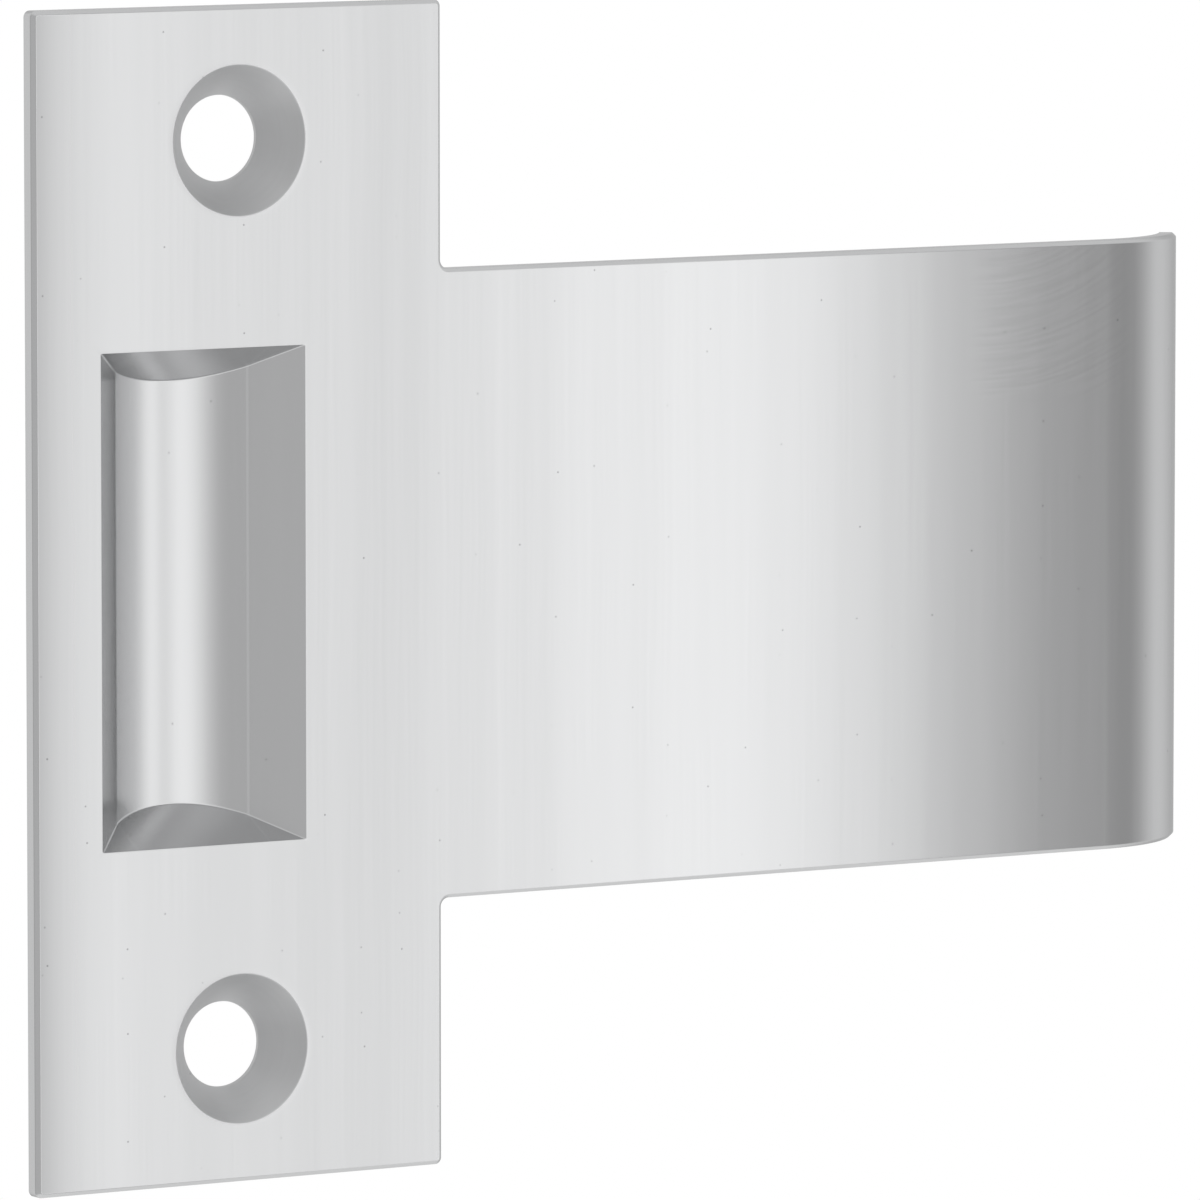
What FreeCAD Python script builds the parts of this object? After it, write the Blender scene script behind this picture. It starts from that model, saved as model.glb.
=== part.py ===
import FreeCAD, Part
import math
import os

Vector = FreeCAD.Vector

# Door strike plate for a latch, one piece of satin metal sheet.
# Lengths are millimetres. X runs along the lip, Y runs into the door frame, Z is up.
# The origin is where the lip leaves the plate, on the back face, half way up.

# Sheet and upright plate; its height follows from the screw holes
sheet = 1.15
screw_pitch = 60.0
screw_end_margin = 8.85
plate_height = screw_pitch + 2 * screw_end_margin
plate_width = 30.9
plate_corner_radius = 0.45

# Lip that carries the latch in: a flat run, then a bend away from the viewer
lip_height = 42.0
lip_flat_run = 53.0
bend_outer_radius = 10.75
bend_angle = 57.0
lip_root_radius = 0.6
lip_corner_radius = 0.45

# Bevel round the front edge, with its two arrises softened
edge_bevel = 0.27
arris_radius = 0.1

# Two pressed countersinks on the plate's centre line
countersink_radius = 4.98
screw_hole_radius = 2.85
countersink_depth = 2.74
screw_land = 0.4
dimple_root_radius = 0.5
dimple_rim_radius = 0.35

# Closed latch cup between the screws: sloping sides, a round floor and sloping ends
cup_width = 15.4
cup_to_screw = 13.6
cup_height = screw_pitch - 2 * cup_to_screw
cup_left_margin = 5.0
cup_side_slope = 42.7
cup_end_slope = 27.2
cup_side_depth = 2.95
cup_depth = 4.63
cup_outside_radius = 0.8
cup_root_radius = 0.6
cup_fold_radius = 0.12
cup_mouth_radius = 0.07

# Levels that follow from the sizes above
front_level = -sheet
plate_left = -plate_width
screw_line = -plate_width / 2
cup_middle = plate_left + cup_left_margin + cup_width / 2
bend_axis_level = front_level + bend_outer_radius
bend_inner_radius = bend_outer_radius - sheet
cup_side_lean = math.tan(math.radians(cup_side_slope))
cup_crease_half = cup_width / 2 - cup_side_depth * cup_side_lean
cup_floor_rise = cup_depth - cup_side_depth
cup_floor_radius = (cup_crease_half**2 + cup_floor_rise**2) / (2 * cup_floor_rise)


def upright_prism(outline, height):
    """Closed outline drawn in X and Y, pulled up evenly about mid-height."""
    face = Part.Face(Part.Wire(outline))
    face.translate(Vector(0, 0, -height / 2))
    return face.extrude(Vector(0, 0, height))


def bend_point(radius, turn):
    """Point of the bend at a radius and an angle turned from the flat run."""
    x = lip_flat_run + radius * math.sin(turn)
    y = bend_axis_level - radius * math.cos(turn)
    return Vector(x, y, 0)


def plate():
    """Upright rectangle of sheet, from its left edge to the root of the lip."""
    corner = Vector(plate_left, front_level, -plate_height / 2)
    return Part.makeBox(plate_width, sheet, plate_height, corner)


def lip():
    """Flat run and bend, drawn as one thin section and pulled up."""
    end = math.radians(bend_angle)
    front_root = Vector(-sheet, front_level, 0)
    back_root = Vector(-sheet, 0, 0)
    front_bend = bend_point(bend_outer_radius, 0)
    back_bend = bend_point(bend_inner_radius, 0)
    front_end = bend_point(bend_outer_radius, end)
    back_end = bend_point(bend_inner_radius, end)
    section = [
        Part.makeLine(front_root, front_bend),
        Part.Arc(front_bend, bend_point(bend_outer_radius, end / 2), front_end).toShape(),
        Part.makeLine(front_end, back_end),
        Part.Arc(back_end, bend_point(bend_inner_radius, end / 2), back_bend).toShape(),
        Part.makeLine(back_bend, back_root),
        Part.makeLine(back_root, front_root),
    ]
    return upright_prism(section, lip_height)


def cross_edges(shape, place, half_height):
    """The upper and lower edges that cross the sheet at one place of its section."""
    picked = []
    for edge in shape.Edges:
        middle = edge.CenterOfMass
        flat_distance = math.hypot(middle.x - place.x, middle.y - place.y)
        height_error = abs(abs(middle.z) - half_height)
        if flat_distance < plate_corner_radius / 2 and height_error < plate_corner_radius / 2:
            picked.append(edge)
    return picked


def is_front_face(face):
    """True for the flat front and for the outside of the bend."""
    surface = face.Surface
    if isinstance(surface, Part.Cylinder):
        return abs(surface.Radius - bend_outer_radius) < arris_radius
    if isinstance(surface, Part.Plane):
        return abs(face.CenterOfMass.y - front_level) < arris_radius
    return False


def shared_once(faces):
    """Edges that only one of these faces has: the rim of the patch they make."""
    rim = []
    for face in faces:
        for edge in face.Edges:
            owners = [other for other in faces if any(edge.isSame(own) for own in other.Edges)]
            if len(owners) == 1:
                rim.append(edge)
    return rim


def rounded_sheet():
    """Plate and lip as one sheet, corners rounded and the front edge bevelled."""
    body = plate().fuse(lip()).removeSplitter()
    mid_level = front_level / 2
    for x in (plate_left, 0):
        corners = cross_edges(body, Vector(x, mid_level, 0), plate_height / 2)
        body = body.makeFillet(plate_corner_radius, corners)
    roots = cross_edges(body, Vector(0, mid_level, 0), lip_height / 2)
    body = body.makeFillet(lip_root_radius, roots)
    end_middle = bend_point(bend_outer_radius - sheet / 2, math.radians(bend_angle))
    ends = cross_edges(body, end_middle, lip_height / 2)
    body = body.makeFillet(lip_corner_radius, ends)
    front_rim = shared_once([face for face in body.Faces if is_front_face(face)])
    return body.makeChamfer(edge_bevel, front_rim)


def cup_section(growth):
    """Cup seen from above, walls moved outwards by growth: mouth, two sides, round floor."""
    lean = cup_side_lean
    mouth_half = cup_width / 2 + growth / math.cos(math.radians(cup_side_slope))
    radius = cup_floor_radius + growth
    axis_depth = cup_depth - cup_floor_radius
    # A side meets the floor where the sloping line crosses the circle, at the deeper crossing.
    square = lean**2 + 1
    half_linear = mouth_half * lean + axis_depth
    constant = mouth_half**2 + axis_depth**2 - radius**2
    crease_depth = (half_linear + math.sqrt(half_linear**2 - square * constant)) / square
    crease_half = mouth_half - crease_depth * lean
    mouth_left = Vector(cup_middle - mouth_half, front_level, 0)
    mouth_right = Vector(cup_middle + mouth_half, front_level, 0)
    crease_left = Vector(cup_middle - crease_half, front_level + crease_depth, 0)
    crease_right = Vector(cup_middle + crease_half, front_level + crease_depth, 0)
    deepest = Vector(cup_middle, front_level + cup_depth + growth, 0)
    return [
        Part.makeLine(mouth_left, mouth_right),
        Part.makeLine(mouth_right, crease_right),
        Part.Arc(crease_right, deepest, crease_left).toShape(),
        Part.makeLine(crease_left, mouth_left),
    ]


def cup_ends(growth):
    """Block across the cup whose top and bottom slope inwards with depth."""
    slope = math.radians(cup_end_slope)
    mouth_half = cup_height / 2 + growth / math.cos(slope)
    reach = cup_depth + growth + sheet
    back_half = mouth_half - reach * math.tan(slope)
    back_level = front_level + reach
    corners = [
        Vector(plate_left, front_level, -mouth_half),
        Vector(plate_left, front_level, mouth_half),
        Vector(plate_left, back_level, back_half),
        Vector(plate_left, back_level, -back_half),
    ]
    side = Part.Face(Part.makePolygon(corners + corners[:1]))
    return side.extrude(Vector(plate_width, 0, 0))


def cup_form(growth):
    """Solid that fills the latch cup, with every wall moved outwards by growth."""
    tall_enough = 2 * (cup_height / 2 + growth / math.cos(math.radians(cup_end_slope)) + sheet)
    return upright_prism(cup_section(growth), tall_enough).common(cup_ends(growth))


def cup_hollow():
    """The cup's hollow with its folds slightly rounded."""
    form = cup_form(0)
    folds = [edge for edge in form.Edges if edge.CenterOfMass.y > front_level + arris_radius]
    return form.makeFillet(cup_fold_radius, folds)


def behind(shape, level):
    """The part of a shape that lies deeper than a level."""
    box = shape.BoundBox
    margin = sheet
    corner = Vector(box.XMin - margin, level, box.ZMin - margin)
    keep = Part.makeBox(box.XLength + 2 * margin, box.YLength + margin, box.ZLength + 2 * margin, corner)
    return shape.common(keep)


def cup_shell_outside():
    """Outside of the pressed cup, its edges rounded as pressing leaves them."""
    form = cup_form(sheet)
    edges = [edge for edge in form.Edges if edge.CenterOfMass.y > front_level + arris_radius]
    return form.makeFillet(cup_outside_radius, edges)


def dimple_outside(z):
    """Outside of one pressed countersink: a cone a sheet's thickness away, and its flat rim."""
    slope = math.atan2(countersink_radius - screw_hole_radius, countersink_depth)
    outer_front = countersink_radius + sheet / math.cos(slope)
    back_depth = countersink_depth + screw_land
    outer_back = outer_front - back_depth * math.tan(slope)
    foot = Vector(screw_line, front_level, z)
    return Part.makeCone(outer_front, outer_back, back_depth, foot, Vector(0, 1, 0))


def screw_cut(z):
    """Countersink and the short round hole at its bottom."""
    foot = Vector(screw_line, front_level, z)
    bottom = Vector(screw_line, front_level + countersink_depth, z)
    inwards = Vector(0, 1, 0)
    cone = Part.makeCone(countersink_radius, screw_hole_radius, countersink_depth, foot, inwards)
    hole = Part.makeCylinder(screw_hole_radius, screw_land + sheet, bottom, inwards)
    return cone.fuse(hole)


def soften_bevel(body):
    """Small rounds on the bevel's two arrises, along the front and along the sides."""
    front = [face for face in body.Faces if is_front_face(face)]
    front_rim = shared_once(front)
    bevels = []
    for face in body.Faces:
        touches = any(edge.isSame(rim) for edge in face.Edges for rim in front_rim)
        if touches and not is_front_face(face):
            bevels.append(face)
    side_rim = shared_once(front + bevels)
    return body.makeFillet(arris_radius, front_rim + side_rim)


def back_roots(body):
    """Edges on the flat back where the cup and the two dimples rise from it."""
    cup = []
    dimples = []
    for edge in body.Edges:
        box = edge.BoundBox
        on_back = max(abs(box.YMin), abs(box.YMax)) < arris_radius
        inside = box.XMin > plate_left + sheet and box.XMax < -sheet
        if not (on_back and inside):
            continue
        if abs(edge.CenterOfMass.z) > cup_height / 2 + countersink_radius:
            dimples.append(edge)
        else:
            cup.append(edge)
    return cup, dimples


def dimple_rims(body):
    """Outer edges of the dimples' flat back ends."""
    back_end = front_level + countersink_depth + screw_land
    rims = []
    for edge in body.Edges:
        middle = edge.CenterOfMass
        if abs(middle.y - back_end) < arris_radius and abs(middle.x - screw_line) < arris_radius:
            rims.append(edge)
    return rims


def cup_mouth(body):
    """Edges on the front face round the mouth of the cup."""
    rim = []
    for edge in body.Edges:
        box = edge.BoundBox
        on_front = max(abs(box.YMin - front_level), abs(box.YMax - front_level)) < cup_mouth_radius
        inside = box.XMin > plate_left + sheet and box.XMax < -sheet
        if on_front and inside and abs(edge.CenterOfMass.z) < cup_height / 2 + sheet:
            rim.append(edge)
    return rim


def strike_plate():
    """The whole plate: sheet, pressed forms behind it, then the cup and holes opened."""
    screw_heights = (-screw_pitch / 2, screw_pitch / 2)
    body = soften_bevel(rounded_sheet())
    mid_level = front_level / 2
    pressed = [behind(cup_shell_outside(), mid_level)]
    pressed += [behind(dimple_outside(z), mid_level) for z in screw_heights]
    body = body.fuse(pressed).removeSplitter()
    cup_root, dimple_root = back_roots(body)
    body = body.makeFillet(cup_root_radius, cup_root)
    cup_root, dimple_root = back_roots(body)
    body = body.makeFillet(dimple_root_radius, dimple_root)
    body = body.makeFillet(dimple_rim_radius, dimple_rims(body))
    body = body.cut(cup_hollow())
    body = body.makeFillet(cup_mouth_radius, cup_mouth(body))
    for z in screw_heights:
        body = body.cut(screw_cut(z))
    return body.removeSplitter()


os.makedirs("parts", exist_ok=True)
strike_plate().exportStep("parts/strike_plate.step")
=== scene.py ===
import math

import bmesh
import bpy
from mathutils import Matrix, Vector


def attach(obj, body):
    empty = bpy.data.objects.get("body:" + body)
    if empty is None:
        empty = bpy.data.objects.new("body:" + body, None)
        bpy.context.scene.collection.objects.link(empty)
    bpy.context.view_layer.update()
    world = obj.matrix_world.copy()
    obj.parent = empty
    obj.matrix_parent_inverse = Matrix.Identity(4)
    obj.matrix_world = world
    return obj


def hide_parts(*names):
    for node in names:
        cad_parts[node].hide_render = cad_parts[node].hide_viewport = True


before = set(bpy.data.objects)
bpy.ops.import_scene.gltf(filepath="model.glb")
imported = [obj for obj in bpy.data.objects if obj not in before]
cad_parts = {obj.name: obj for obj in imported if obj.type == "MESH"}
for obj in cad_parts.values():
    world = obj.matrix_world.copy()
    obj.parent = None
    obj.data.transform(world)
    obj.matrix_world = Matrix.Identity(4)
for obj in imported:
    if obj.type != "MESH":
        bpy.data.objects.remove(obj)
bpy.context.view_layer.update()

# Shapes are drawn in millimetres and brought to metres once, when the piece is finished.
# X runs along the lip, Y runs into the door frame, Z is up, as on the solid part.
MM = 0.001

# Points closer than this, in millimetres, are merged into one
WELD = 0.0001

# A point this close to a level or a line, in millimetres, lies on it
ON_THE_SPOT = 0.001

# A face is square on to Y when at least this much of its normal runs along Y
SQUARE_ON = 0.99

# Sheet and upright plate
sheet = 1.15
screw_pitch = 60.0
screw_end_margin = 8.85
plate_height = screw_pitch + 2 * screw_end_margin
plate_width = 30.9
plate_corner_radius = 0.45

# Lip and its bend
lip_height = 42.0
lip_flat_run = 53.0
bend_outer_radius = 10.75
bend_angle = math.radians(57.0)
lip_root_radius = 0.6
lip_corner_radius = 0.45
bend_steps = 40
corner_steps = 8
root_steps = 10

# Bevel round the front edge and the softening of its two arrises
edge_bevel = 0.27
arris_reach = 0.045
arris_steps = 3

# Countersunk screw seats and the dimples behind them
countersink_radius = 4.98
screw_hole_radius = 2.85
countersink_depth = 2.74
screw_land = 0.4
dimple_root_radius = 0.5
dimple_rim_radius = 0.35
seat_edge_radius = 0.12
turning_steps = 112

# Latch cup
cup_width = 15.4
cup_to_screw = 13.6
cup_height = screw_pitch - 2 * cup_to_screw
cup_left_margin = 5.0
cup_side_slope = math.radians(42.7)
cup_end_slope = math.radians(27.2)
cup_side_depth = 2.95
cup_depth = 4.63
cup_floor_steps = 40
cup_inner_reach = 0.1
cup_mouth_reach = 0.07
cup_outer_reach = 0.5
cup_root_reach = 0.3

# Edges of the cup that turn by more than this are folds
fold_from = math.radians(5.0)

# Steps in the round of a fold, in the cup and in the screw seats
fold_steps = 5

# Flat margin kept round each feature, so that its rounds stay clean
collar = 0.45

# Edges that turn by more than this stay sharp, such as the punched edge round the back
sharp_from = math.radians(40.0)

# Levels and lengths that follow
front_level = -sheet
back_level = 0.0
plate_left = -plate_width
screw_line = -plate_width / 2
cup_middle = plate_left + cup_left_margin + cup_width / 2
bend_axis_level = front_level + bend_outer_radius
bend_reach = bend_outer_radius * bend_angle
crease_half = cup_width / 2 - cup_side_depth * math.tan(cup_side_slope)
floor_rise = cup_depth - cup_side_depth
cup_floor_radius = (crease_half**2 + floor_rise**2) / (2 * floor_rise)

# Metal: its tone, the tint at grazing angles, and what the maker's tool does to it. The relief
# is a height in millimetres and how strongly it shows.
metal_tone = (0.601, 0.604, 0.609)
grazing_tint = (0.8, 0.8, 0.8, 1)
relief_height = 0.004
relief_strength = 0.25
roughness_spread = 0.06

# Brushing: how far a line sways in millimetres, and how often a millimetre along X, Y and Z
brush_sway = 0.6
sway_steps = (0.02, 0.02, 0.045)

# Layers of brush lines, from fine to broad: steps a millimetre across and down the sheet,
# roughness of the noise, and share
brush_layers = [
    (9.0, 0.12, 0.6, 0.15),
    (3.2, 0.035, 0.55, 0.2),
    (0.3, 0.008, 0.5, 0.65),
]

# Countersinks: the share of the rings and the share of the tool's chatter over them
ring_share = 0.6
chatter_share = 0.4

# Polishing strokes: the centre of their arcs, where they start to show on the left, on the
# right and below, where they show in full, and how high they stand against the brushing
stroke_centre = (43.0, 36.0)
stroke_left = (41.0, 44.0)
stroke_right = (57.0, 51.0)
stroke_foot = (9.0, 12.0)
stroke_relief = 0.4

# Painted shade that darkens the left edge, pits, and painted highlight lines on the cup's creases,
# from nothing to full
edge_shade_width = 6.0
speck_cell = 3.0
speck_radius = 0.045
speck_share = 0.25
crease_highlight_ends = (0.1, 0.03)

# Sines of the elevations between which the banks of light give way to the light from above
# and below
level_with_eye = 0.574
high_up = 0.906

# Backdrop and floor, in metres
backdrop_radius = 9.0
floor_level = -0.16

# Camera fitted to the photograph: how far round and up it stands, and in millimetres how far
# off it is, where it aims, and its focal length over a picture of this width
view_azimuth = math.radians(-31.5133)
view_elevation = math.radians(5.5664)
view_distance = 823.5639
view_aim = (12.9692, 0, -1.7983)
focal_length = 368.55
picture_width = 36.0

# Which finish a face takes
BRUSHED, CUP, SEAT, EDGE, BACK = range(5)


def round_over(form, edges, reach, steps):
    """Rounds edges; reach is how far the round runs onto each face."""
    bmesh.ops.bevel(form, geom=edges, offset=reach, offset_type="OFFSET", segments=steps,
                    profile=0.5, affect="EDGES", material=-1)
    form.normal_update()


def points_of(made):
    """The points among what an operator made."""
    return [item for item in made if isinstance(item, bmesh.types.BMVert)]


def on_level(point, level):
    """Whether a point lies on a level, such as the sheet's front."""
    return abs(point.co.y - level) < ON_THE_SPOT


def through_edges(form, x, half_height):
    """Edges that run straight through the sheet at one place, above and below the middle."""
    found = []
    for edge in form.edges:
        first, last = (point.co for point in edge.verts)
        straight = math.hypot(first.x - last.x, first.z - last.z) < ON_THE_SPOT
        there = math.hypot(first.x - x, abs(first.z) - half_height) < ON_THE_SPOT
        if straight and there:
            found.append(edge)
    return found


def widest_face(form, facing):
    """The widest face that looks along +Y (facing 1) or -Y (facing -1)."""
    looking = [face for face in form.faces if face.normal.y * facing > SQUARE_ON]
    return max(looking, key=lambda face: face.calc_area())


def sheet_form():
    """Punched sheet, still flat and without holes, with rounded corners and a bevelled front edge.

    Its front and back are left open, to be filled when the features are in.
    """
    form = bmesh.new()
    half_plate = plate_height / 2
    half_lip = lip_height / 2
    lip_end = lip_flat_run + bend_reach
    outline = [
        (plate_left, -half_plate), (0, -half_plate), (0, -half_lip), (lip_end, -half_lip),
        (lip_end, half_lip), (0, half_lip), (0, half_plate), (plate_left, half_plate),
    ]
    front = form.faces.new([form.verts.new((x, front_level, z)) for x, z in outline])
    behind = points_of(bmesh.ops.extrude_face_region(form, geom=[front])["geom"])
    bmesh.ops.translate(form, verts=behind, vec=(0, sheet, 0))
    bmesh.ops.recalc_face_normals(form, faces=form.faces)
    for x in (plate_left, 0):
        round_over(form, through_edges(form, x, half_plate), plate_corner_radius, corner_steps)
    round_over(form, through_edges(form, 0, half_lip), lip_root_radius, root_steps)
    round_over(form, through_edges(form, lip_end, half_lip), lip_corner_radius, corner_steps)

    round_over(form, widest_face(form, -1).edges[:], edge_bevel, 1)
    bevels = {face for face in form.faces if 1 - SQUARE_ON < -face.normal.y < SQUARE_ON}
    arrises = [edge for edge in form.edges
               if sum(face in bevels for face in edge.link_faces) == 1]
    round_over(form, arrises, arris_reach, arris_steps)

    # Cuts across the end of the lip, where it will bend
    for step in range(bend_steps):
        station = (lip_flat_run + bend_reach * step / bend_steps, 0, 0)
        whole = form.verts[:] + form.edges[:] + form.faces[:]
        bmesh.ops.bisect_plane(form, geom=whole, plane_co=station, plane_no=(1, 0, 0), dist=WELD)
    form.normal_update()
    for face in form.faces:
        if face.normal.y > SQUARE_ON:
            face.material_index = BACK
        elif face.normal.y > -SQUARE_ON:
            face.material_index = EDGE
    open_flats = [widest_face(form, -1), widest_face(form, 1)]
    bmesh.ops.delete(form, geom=open_flats, context="FACES_ONLY")
    return form


def turned_profile(form, corners, height):
    """Draws a line through corners and rounds it at each one between its ends.

    A corner is given as its distance from the screw's axis, its level and its radius.
    """
    points = [form.verts.new((screw_line + away, level, height)) for away, level, _ in corners]
    for start, end in zip(points, points[1:]):
        form.edges.new((start, end))
    rounds = []
    for before, middle, after, corner in zip(points, points[1:], points[2:], corners[1:]):
        turn = (middle.co - before.co).angle(after.co - middle.co)
        rounds.append((middle, corner[2] * math.tan(turn / 2)))
    for middle, reach in rounds:
        bmesh.ops.bevel(form, geom=[middle], offset=reach, offset_type="OFFSET",
                        segments=fold_steps, profile=0.5, affect="VERTICES", material=-1)


def screw_seat(height):
    """One countersink, its hole and the dimple behind, turned about the screw's axis."""
    slope = math.atan2(countersink_radius - screw_hole_radius, countersink_depth)
    seat_level = front_level + countersink_depth
    end_level = seat_level + screw_land
    outer_front = countersink_radius + sheet / math.cos(slope)
    outer_end = outer_front - (end_level - front_level) * math.tan(slope)
    outer_back = outer_front - sheet * math.tan(slope)
    corners = [
        (countersink_radius + collar, front_level, 0),
        (countersink_radius, front_level, seat_edge_radius),
        (screw_hole_radius, seat_level, seat_edge_radius),
        (screw_hole_radius, end_level, seat_edge_radius),
        (outer_end, end_level, dimple_rim_radius),
        (outer_back, back_level, dimple_root_radius),
        (outer_back + 2 * collar, back_level, 0),
    ]
    form = bmesh.new()
    turned_profile(form, corners, height)
    bmesh.ops.spin(form, geom=form.edges[:], cent=(screw_line, 0, height), axis=(0, 1, 0),
                   dvec=(0, 0, 0), angle=math.tau, steps=turning_steps, use_merge=True)
    form.normal_update()
    for face in form.faces:
        centre = face.calc_center_median()
        away = math.hypot(centre.x - screw_line, centre.z - height)
        # Half way through the sheet, from the countersink's cone to the dimple's
        half_way = screw_hole_radius + (seat_level - centre.y) * math.tan(slope) + sheet / 2
        if abs(centre.y - front_level) < ON_THE_SPOT:
            face.material_index = BRUSHED
        elif centre.y < end_level - ON_THE_SPOT and away <= half_way:
            face.material_index = SEAT
        else:
            face.material_index = BACK
    return form


def cup_section(form, growth, level):
    """Draws a skin's section, from a level down one side, round the floor and up the other side.

    Gives back half the section's width at that level.
    """
    lean = math.tan(cup_side_slope)
    mouth_half = cup_width / 2 + growth / math.cos(cup_side_slope)
    radius = cup_floor_radius + growth
    axis_depth = cup_depth - cup_floor_radius
    # A side meets the floor where the sloping line crosses the circle, at the deeper crossing.
    square = lean**2 + 1
    half_linear = mouth_half * lean + axis_depth
    constant = mouth_half**2 + axis_depth**2 - radius**2
    depth = (half_linear + math.sqrt(half_linear**2 - square * constant)) / square
    half = mouth_half - depth * lean
    level_half = mouth_half - (level - front_level) * lean

    left = form.verts.new((cup_middle - level_half, level, 0))
    left_crease = form.verts.new((cup_middle - half, front_level + depth, 0))
    form.edges.new((left, left_crease))
    floor = bmesh.ops.spin(form, geom=[left_crease], axis=(0, 0, 1), dvec=(0, 0, 0),
                           cent=(cup_middle, front_level + axis_depth, 0),
                           angle=-2 * math.asin(half / radius), steps=cup_floor_steps)
    right_crease = points_of(floor["geom_last"])[0]
    right = form.verts.new((cup_middle + level_half, level, 0))
    form.edges.new((right_crease, right))
    return level_half


def cup_ends(form, growth, level):
    """Draws a skin's section out to its two sloping end walls and closes them.

    Gives back half the skin's height at the level.
    """
    lean = math.tan(cup_end_slope)
    mouth_half = cup_height / 2 + growth / math.cos(cup_end_slope)
    lower = form.verts[:]
    upper = points_of(bmesh.ops.extrude_edge_only(form, edges=form.edges[:])["geom"])
    for points, side in ((lower, -1), (upper, 1)):
        slant = Matrix.Identity(4)
        slant[2][1] = -side * lean
        slant[2][3] = side * (mouth_half + front_level * lean)
        bmesh.ops.transform(form, matrix=slant, verts=points)
        form.edges.new([point for point in points if on_level(point, level)])
        members = set(points)
        rim = [edge for edge in form.edges if all(point in members for point in edge.verts)]
        bmesh.ops.contextual_create(form, geom=rim)
    bmesh.ops.recalc_face_normals(form, faces=form.faces)
    return mouth_half - (level - front_level) * lean


def cup_skin(growth, level, edge_reach, root_reach, margin, finish):
    """One skin of the latch cup, grown outwards from the inner one and cut off at a level.

    It has a flat margin round it at that level, which takes the sheet's own finish.
    """
    form = bmesh.new()
    half_width = cup_section(form, growth, level)
    half_height = cup_ends(form, growth, level)
    folds = [edge for edge in form.edges
             if len(edge.link_faces) == 2 and edge.calc_face_angle() > fold_from]
    round_over(form, folds, edge_reach, fold_steps)
    for face in form.faces:
        face.material_index = finish

    rim = [edge for edge in form.edges if edge.is_boundary]
    outer = points_of(bmesh.ops.extrude_edge_only(form, edges=rim)["geom"])
    widen = (1 + margin / half_width, 1, 1 + margin / half_height)
    bmesh.ops.scale(form, vec=widen, space=Matrix.Translation((-cup_middle, 0, 0)), verts=outer)
    flat = {face for face in form.faces if all(on_level(point, level) for point in face.verts)}
    for face in flat:
        face.material_index = BRUSHED if level == front_level else BACK
    mouth = [edge for edge in form.edges
             if len(edge.link_faces) == 2 and sum(face in flat for face in edge.link_faces) == 1]
    round_over(form, mouth, root_reach, fold_steps)
    return form


def join(form, part):
    """Moves the faces of a part into the form."""
    carrier = bpy.data.meshes.new("carrier")
    part.to_mesh(carrier)
    part.free()
    form.from_mesh(carrier)
    bpy.data.meshes.remove(carrier)


def close_flat(form, level, facing, finish):
    """Fills the sheet between its outline and the features' collars on one level."""
    rim = [edge for edge in form.edges
           if edge.is_boundary and all(on_level(point, level) for point in edge.verts)]
    made = bmesh.ops.triangle_fill(form, use_beauty=True, edges=rim, normal=(0, facing, 0))
    for item in made["geom"]:
        if isinstance(item, bmesh.types.BMFace):
            item.material_index = finish


def finished(form, name):
    """Turns a form into an object of the scene."""
    mesh = bpy.data.meshes.new(name)
    form.to_mesh(mesh)
    form.free()
    made = bpy.data.objects.new(name, mesh)
    bpy.context.scene.collection.objects.link(made)
    return made


def bend_lip(form):
    """Rolls what lies past the flat run about the bend's axis, keeping lengths along the front."""
    for point in form.verts:
        past = point.co.x - lip_flat_run
        if past > 0:
            turn = past / bend_outer_radius
            radius = bend_outer_radius - (point.co.y - front_level)
            point.co.x = lip_flat_run + radius * math.sin(turn)
            point.co.y = bend_axis_level - radius * math.cos(turn)


def strike_plate_piece():
    """The whole strike plate as one closed skin."""
    form = sheet_form()
    for height in (-screw_pitch / 2, screw_pitch / 2):
        join(form, screw_seat(height))
    join(form, cup_skin(0, front_level, cup_inner_reach, cup_mouth_reach, collar, CUP))
    join(form, cup_skin(sheet, back_level, cup_outer_reach, cup_root_reach, 2 * collar, BACK))
    close_flat(form, front_level, -1, BRUSHED)
    close_flat(form, back_level, 1, BACK)
    bmesh.ops.remove_doubles(form, verts=form.verts, dist=WELD)
    bend_lip(form)
    bmesh.ops.recalc_face_normals(form, faces=form.faces)
    bmesh.ops.scale(form, vec=(MM, MM, MM), verts=form.verts)
    for face in form.faces:
        face.smooth = True
    for edge in form.edges:
        edge.smooth = edge.calc_face_angle() < sharp_from
    piece = finished(form, "strike_plate_metal")
    # The wide flats take the light evenly, and the narrow rounds beside them give way.
    evened = piece.modifiers.new("even light on the flats", "WEIGHTED_NORMAL")
    evened.mode = "FACE_AREA"
    evened.weight = 100
    evened.keep_sharp = True
    return piece


class Value:
    """A number or vector in a finish; arithmetic on it adds the Math nodes."""

    def __init__(self, finish, socket):
        self.finish = finish
        self.socket = socket

    def _math(self, operation, first, second):
        return self.finish.node("ShaderNodeMath", {"operation": operation}, {0: first, 1: second})

    def __add__(self, other):
        return self._math("ADD", self, other)

    def __radd__(self, other):
        return self._math("ADD", other, self)

    def __sub__(self, other):
        return self._math("SUBTRACT", self, other)

    def __rsub__(self, other):
        return self._math("SUBTRACT", other, self)

    def __mul__(self, other):
        return self._math("MULTIPLY", self, other)

    def __rmul__(self, other):
        return self._math("MULTIPLY", other, self)

    def __pow__(self, other):
        return self._math("POWER", self, other)

    def __rpow__(self, other):
        return self._math("POWER", other, self)

    def __abs__(self):
        return self.finish.node("ShaderNodeMath", {"operation": "ABSOLUTE"}, {0: self})


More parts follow.
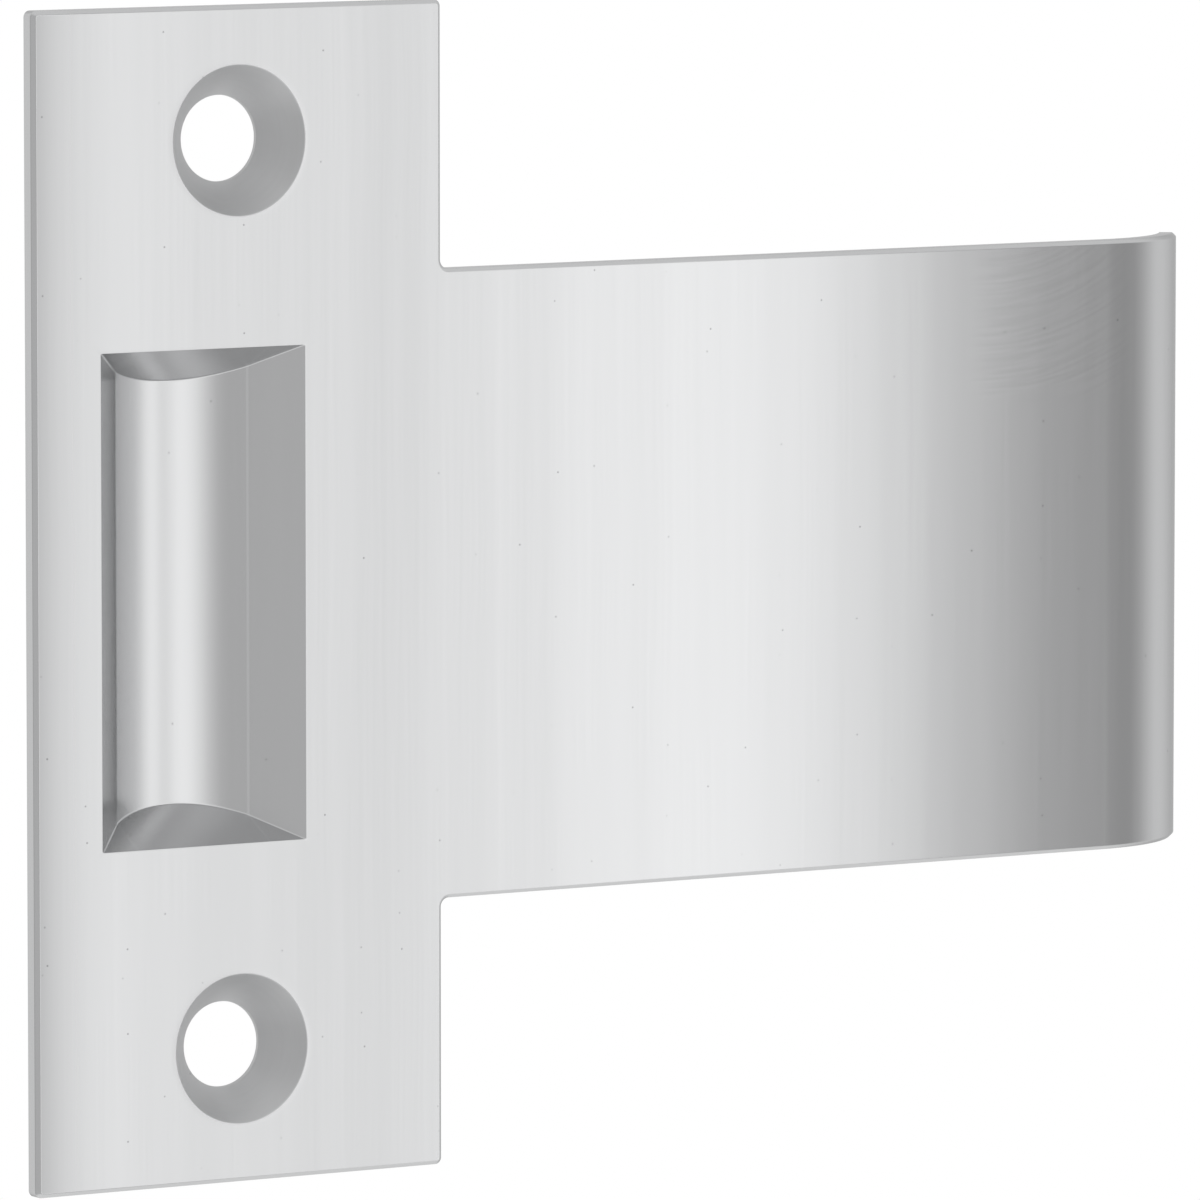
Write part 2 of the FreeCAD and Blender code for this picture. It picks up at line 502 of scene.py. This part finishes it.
class Nodes:
    """The nodes of one material, light or world, added one by one."""

    def __init__(self, owner):
        owner.use_nodes = True
        self.tree = owner.node_tree
        self.tree.nodes.clear()

    def node(self, kind, settings=None, sockets=None, output=0):
        """Adds a node, with its settings first and then the value or link of each socket."""
        made = self.tree.nodes.new(kind)
        for name, value in (settings or {}).items():
            setattr(made, name, value)
        for name, value in (sockets or {}).items():
            if isinstance(value, Value):
                self.tree.links.new(value.socket, made.inputs[name])
            else:
                made.inputs[name].default_value = value
        return Value(self, made.outputs[output]) if made.outputs else None

    def part(self, vector, axis):
        """One component of a vector or colour."""
        return self.node("ShaderNodeSeparateXYZ", {}, {0: vector}, axis)

    def vector(self, x, y, z):
        """A vector from its three components."""
        return self.node("ShaderNodeCombineXYZ", {}, {"X": x, "Y": y, "Z": z})

    def noise(self, place, scale, detail=2.0, roughness=0.5):
        """Noise whose scale is given in steps a millimetre along X, Y and Z."""
        per_metre = tuple(steps / MM for steps in scale)
        laid = self.node("ShaderNodeMapping", {"vector_type": "POINT"}, {
            "Vector": place, "Scale": per_metre})
        return self.node("ShaderNodeTexNoise", {}, {
            "Vector": laid, "Scale": 1.0, "Detail": detail, "Roughness": roughness})

    def rings(self, across, up, drift, steps, detail, roughness):
        """Noise in rings about an axis; drift is how much it also changes along a ring."""
        away = (across * across + up * up) ** 0.5
        rolled = self.vector(away, across * drift, up * drift)
        return self.noise(rolled, (steps, steps, steps), detail, roughness)

    def band(self, value, low, high):
        """0 at low, 1 at high, and a smooth step between; low may be the larger of the two."""
        settings = {"interpolation_type": "SMOOTHSTEP", "clamp": True}
        return self.node("ShaderNodeMapRange", settings, {
            "Value": value, "From Min": low, "From Max": high, "To Min": 0.0, "To Max": 1.0})

    def band_mm(self, place, ends):
        """0 at the first of two places, given in millimetres, 1 at the second, smooth between."""
        low, high = ends
        return self.band(place, low * MM, high * MM)


def brush_lines(finish, place):
    """Upright brush lines, 0 to 1, that sway a little as they run down the sheet."""
    sway = finish.noise(place, sway_steps, detail=1.0)
    along = finish.part(place, "X") + (sway - 0.5) * (brush_sway * MM)
    swayed = finish.vector(along, finish.part(place, "Y"), finish.part(place, "Z"))
    layers = [finish.noise(swayed, (across, across, down), roughness=roughness) * share
              for across, down, roughness, share in brush_layers]
    return sum(layers[1:], layers[0])


def turned_lines(finish, place):
    """Rings that the countersinking tool left about each screw's axis, 0 to 1."""
    across = finish.part(place, "X") - screw_line * MM
    up = abs(finish.part(place, "Z")) - screw_pitch / 2 * MM
    rings = finish.rings(across, up, drift=0.04, steps=7.0, detail=2.0, roughness=0.6)
    chatter = finish.noise(place, (0.5, 0.5, 0.5), detail=1.0)
    return rings * ring_share + chatter * chatter_share


def polish_strokes(finish, place):
    """Short arcs, 0 to 1, where the lip's upper end was rubbed beside the bend; 0.5 elsewhere."""
    x, z = finish.part(place, "X"), finish.part(place, "Z")
    across = x - stroke_centre[0] * MM
    up = z - stroke_centre[1] * MM
    arcs = finish.rings(across, up, drift=0.05, steps=4.0, detail=1.0, roughness=0.4)
    there = (finish.band_mm(x, stroke_left) * finish.band_mm(x, stroke_right)
             * finish.band_mm(z, stroke_foot))
    return (finish.band(arcs, 0.25, 0.75) - 0.5) * there + 0.5


def specks(finish, place):
    """Tiny dark pits, 1 in a pit and 0 between, about one to every 36 square millimetres."""
    flat = finish.vector(finish.part(place, "X"), finish.part(place, "Z"), 0.0)
    settings = {"voronoi_dimensions": "2D", "feature": "F1"}
    sockets = {"Vector": flat, "Scale": 1 / (speck_cell * MM), "Randomness": 1.0}
    away = finish.node("ShaderNodeTexVoronoi", settings, sockets, "Distance")
    colour = finish.node("ShaderNodeTexVoronoi", settings, sockets, "Color")
    kept = finish.band(finish.part(colour, "X"), 1 - speck_share, 1.0)
    return finish.band(away, 2 * speck_radius / speck_cell, speck_radius / speck_cell) * kept


def edge_shade_and_roughness(finish, place):
    """1 at the plate's left edge, down to 0 some millimetres inwards: where the colour gets painted
    shade and the metal more roughness.
    """
    inwards = (finish.part(place, "X") - plate_left * MM) * (1 / (edge_shade_width * MM))
    left_over = finish.node("ShaderNodeMath", {"operation": "MAXIMUM"}, {0: 1 - inwards, 1: 0.0})
    return left_over * left_over


def painted_crease_highlights(finish, place):
    """1 on the painted highlight lines where the cup's sides meet its round floor, 0 elsewhere."""
    from_middle = abs(finish.part(place, "X") - cup_middle * MM)
    return finish.band_mm(abs(from_middle - crease_half * MM), crease_highlight_ends)


def satin_metal(name, roughness, anisotropy, grain, marks=brush_lines,
                strokes=0.0, pits=0.0, edge_shade=0.0, crease_highlight=0.0):
    """Satin metal with fine lines from the maker's tool.

    Grain, strokes, pits and the edge and crease amounts say how far the tool's lines, the
    polishing strokes, the pits, the painted shade at the left edge and the painted highlight
    lines on the cup's creases darken or lighten the metal.
    """
    material = bpy.data.materials.new(name)
    finish = Nodes(material)
    place = finish.node("ShaderNodeTexCoord", output="Object")
    lines = marks(finish, place)
    shading = (lines - 0.5) * (2 * grain) + 1
    height = lines
    if strokes:
        rubbed = polish_strokes(finish, place) - 0.5
        shading = shading + rubbed * (2 * strokes)
        height = height + rubbed * stroke_relief
    rough = lines * roughness_spread + (roughness - roughness_spread / 2)
    if edge_shade:
        # Painted shade: the colour is darkened towards the left edge, and the metal there is also
        # rougher, by a third of how much darker it is.
        edge = edge_shade_and_roughness(finish, place)
        shading = shading * (1 - edge * edge_shade)
        rough = rough + edge * (edge_shade / 3)
    if crease_highlight:
        # Painted highlight: lighter lines in the colour along the cup's creases.
        shading = shading + painted_crease_highlights(finish, place) * crease_highlight
    if pits:
        shading = shading - specks(finish, place) * pits
    shade = finish.node("ShaderNodeVectorMath", {"operation": "SCALE"}, {
        0: metal_tone, "Scale": shading})
    relief = finish.node("ShaderNodeBump", {}, {
        "Strength": relief_strength, "Distance": relief_height * MM, "Height": height})
    metal = finish.node("ShaderNodeBsdfPrincipled", {}, {
        "Base Color": shade, "Metallic": 1.0, "Roughness": rough,
        "Anisotropic": anisotropy, "Specular Tint": grazing_tint, "Normal": relief})
    finish.node("ShaderNodeOutputMaterial", {}, {"Surface": metal})
    return material


def dress(piece):
    """Gives the plate its finishes, in the order of the numbers on its faces."""
    finishes = [
        # The face's colour is darkened towards its left edge: painted shade.
        satin_metal("brushed face", roughness=0.25, anisotropy=0.35, grain=0.09,
                    strokes=0.025, pits=0.35, edge_shade=0.3),
        # The cup's colour is lightened in lines along its creases: painted highlight.
        satin_metal("pressed cup", roughness=0.25, anisotropy=0.35, grain=0.06,
                    pits=0.3, crease_highlight=0.08),
        satin_metal("turned seat", roughness=0.48, anisotropy=0.0, grain=0.05,
                    marks=turned_lines, pits=0.3),
        satin_metal("bevelled edge", roughness=0.25, anisotropy=0.35, grain=0.04),
        satin_metal("plain back", roughness=0.28, anisotropy=0.35, grain=0.08),
    ]
    for material in finishes:
        piece.data.materials.append(material)


def studio_sweep():
    """Pale floor that runs up into a plain backdrop all round, lit evenly."""
    form = bmesh.new()
    bmesh.ops.create_uvsphere(form, u_segments=64, v_segments=48, radius=backdrop_radius)
    for point in form.verts:
        point.co.z = max(point.co.z, floor_level)
    floor = finished(form, "pale_floor")
    paint = bpy.data.materials.new("pale floor paint")
    finish = Nodes(paint)
    glow = finish.node("ShaderNodeEmission", {}, {"Color": (1, 1, 1, 1), "Strength": 1.0})
    finish.node("ShaderNodeOutputMaterial", {}, {"Surface": glow})
    floor.data.materials.append(paint)
    for way in ("visible_diffuse", "visible_glossy", "visible_transmission", "visible_shadow"):
        setattr(floor, way, False)


def room(level, above, below, banks):
    """Light from all round: an even level, more from above and below, and tall banks at eye height.

    A bank is given by its azimuth and width in degrees and by how much it adds at its middle.
    0 degrees is straight in front of the plate and 90 is beyond the lip.
    """
    world = bpy.data.worlds.new("studio room")
    air = Nodes(world)
    way = air.node("ShaderNodeTexCoord", output="Generated")
    up = air.part(way, "Z")
    turn = air.node("ShaderNodeMath", {"operation": "ARCTAN2"}, {
        0: air.part(way, "X"), 1: air.part(way, "Y") * -1})
    banked = air.band(abs(up), high_up, level_with_eye)
    ceiling = air.band(up, level_with_eye, high_up) * above
    ground = air.band(up * -1, level_with_eye, high_up) * below
    light = ceiling + ground + level
    for azimuth, width, strength in banks:
        off = air.node("ShaderNodeMath", {"operation": "WRAP"}, {
            0: turn - math.radians(azimuth), 1: math.pi, 2: -math.pi})
        light = light + air.band(abs(off), math.radians(width / 2), 0.0) * banked * strength
    sky = air.node("ShaderNodeBackground", {}, {"Color": (1, 1, 1, 1), "Strength": light})
    air.node("ShaderNodeOutputWorld", {}, {"Surface": sky})
    bpy.context.scene.world = world


def soft_box(name, place, aim, width, height, strength):
    """Soft light aimed at a point, brightest along its upright middle and faded at its edges.

    Its place, aim and size are in metres, its strength in watts.
    """
    lamp = bpy.data.lights.new(name, "AREA")
    lamp.shape = "RECTANGLE"
    lamp.size = width
    lamp.size_y = height
    lamp.energy = strength
    cloth = Nodes(lamp)
    place_on_box = cloth.node("ShaderNodeNewGeometry", output="Parametric")
    across = cloth.part(place_on_box, "X")
    up = cloth.part(place_on_box, "Y")
    hump = cloth.node("ShaderNodeMath", {"operation": "SINE"}, {0: across * math.pi})
    faded_end = 0.25
    ends = cloth.band(up, 0.0, faded_end) * cloth.band(1 - up, 0.0, faded_end)
    glow = cloth.node("ShaderNodeEmission", {}, {"Strength": hump * hump * ends})
    cloth.node("ShaderNodeOutputLight", {}, {"Surface": glow})
    light = bpy.data.objects.new(name, lamp)
    light.location = place
    light.rotation_euler = (Vector(aim) - Vector(place)).to_track_quat("-Z", "Y").to_euler()
    light.visible_camera = False
    bpy.context.scene.collection.objects.link(light)


def light_the_set():
    """Soft light all round, and two soft boxes close to the plate's right front."""
    room(level=0.386, above=0.47, below=0.61, banks=[
        (-148, 90, 0.55),  # seen in the sheet's left side
        (-64, 110, 0.255),  # seen in the cup's right side
        (-8, 120, 0.163),  # seen in the right half of the cup's floor
        (93, 78, 0.54),  # seen half way round the bend
        (150, 110, 0.42),  # seen towards the end of the bend
    ])
    soft_box("in front of the lip", place=(0.020, -0.11, 0), aim=(0.020, 0, 0),
             width=0.174, height=0.3, strength=0.151)
    soft_box("beside the lip", place=(0.062, -0.066, 0), aim=(0, -0.066, 0),
             width=0.103, height=0.34, strength=0.117)


def camera():
    """Camera left of the front and a little above, far off and narrow."""
    back = Vector((math.sin(view_azimuth) * math.cos(view_elevation),
                   -math.cos(view_azimuth) * math.cos(view_elevation),
                   math.sin(view_elevation)))
    lens = bpy.data.cameras.new("camera")
    lens.sensor_width = picture_width
    lens.lens = focal_length
    lens.clip_start = 0.01
    lens.clip_end = 50.0
    stand = bpy.data.objects.new("camera", lens)
    stand.location = Vector(view_aim) * MM + back * (view_distance * MM)
    stand.rotation_euler = (-back).to_track_quat("-Z", "Y").to_euler()
    bpy.context.scene.collection.objects.link(stand)
    bpy.context.scene.camera = stand


def view_as_photographed():
    """Shows the colours as they are lit, with no film look over them."""
    view = bpy.context.scene.view_settings
    view.view_transform = "Standard"
    view.look = "None"
    view.exposure = 0.0
    view.gamma = 1.0


plate = strike_plate_piece()
dress(plate)
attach(plate, "root")
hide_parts("strike_plate")
studio_sweep()
light_the_set()
camera()
view_as_photographed()
